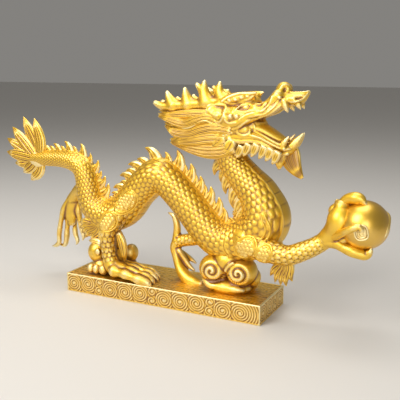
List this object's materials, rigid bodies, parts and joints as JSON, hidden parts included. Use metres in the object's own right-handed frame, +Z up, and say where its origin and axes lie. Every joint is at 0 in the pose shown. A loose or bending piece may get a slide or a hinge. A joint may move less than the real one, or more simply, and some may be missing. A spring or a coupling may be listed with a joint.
{
  "type": "dragon sculpture",
  "caption": "Gilded Chinese dragon with arched body, open jaws and antlers, on a scroll-carved plinth, its stretched fore claw holding a smooth pearl.",
  "frame": {"origin": "centre of the plinth's underside", "axes": "+X along the plinth towards the head and the pearl, +Z up, -Y the side that shows the raised fore claw"},
  "size_m": [0.3927, 0.0633, 0.2008],
  "materials": {
    "cast_gold": "gilded casting, satin on the raised scales and darker in the grooves",
    "plinth_gold": "gilded casting with a fine hammered grain",
    "pearl_gold": "gilded and polished smooth"
  },
  "bodies": {
    "root": {"dragon": "cast_gold", "plinth": "plinth_gold", "pearl": "pearl_gold"}
  },
  "joints": []
}
